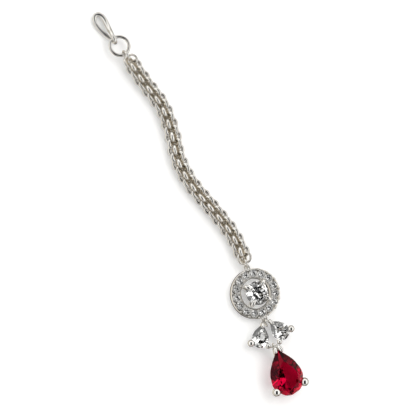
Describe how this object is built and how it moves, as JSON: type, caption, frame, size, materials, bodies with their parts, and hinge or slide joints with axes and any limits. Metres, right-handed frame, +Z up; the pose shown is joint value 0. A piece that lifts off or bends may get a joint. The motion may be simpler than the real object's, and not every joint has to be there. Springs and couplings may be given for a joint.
{
  "type": "maang tikka",
  "caption": "Hair jewel lying flat: bent wire hook on a jump ring, woven silver chain, round halo pendant with white stones, a V of small pears and a red pear drop.",
  "frame": {"origin": "middle of the jewel's footprint, on the surface that it lies on", "axes": "+Y along the pendant's axis towards the hook, +Z up from the surface, out of the stones' tables, +X to the right"},
  "size_m": [0.027, 0.125, 0.0059],
  "materials": {
    "silver": "bright polished silver",
    "white_stone": "clear faceted stone",
    "red_stone": "deep red faceted stone"
  },
  "bodies": {
    "root": {"hook": "silver", "jump_ring": "silver", "top_link": "silver", "chain": "silver", "bottom_link": "silver", "halo_setting": "silver", "halo_stone_01": "white_stone", "halo_stone_02": "white_stone", "halo_stone_03": "white_stone", "halo_stone_04": "white_stone", "halo_stone_05": "white_stone", "halo_stone_06": "white_stone", "halo_stone_07": "white_stone", "halo_stone_08": "white_stone", "halo_stone_09": "white_stone", "halo_stone_10": "white_stone", "halo_stone_11": "white_stone", "halo_stone_12": "white_stone", "halo_stone_13": "white_stone", "halo_stone_14": "white_stone", "halo_stone_15": "white_stone", "centre_stone": "white_stone", "pear_link": "silver", "pear_setting": "silver", "left_pear_stone": "white_stone", "right_pear_stone": "white_stone", "drop_setting": "silver", "red_pear_stone": "red_stone"}
  },
  "joints": []
}
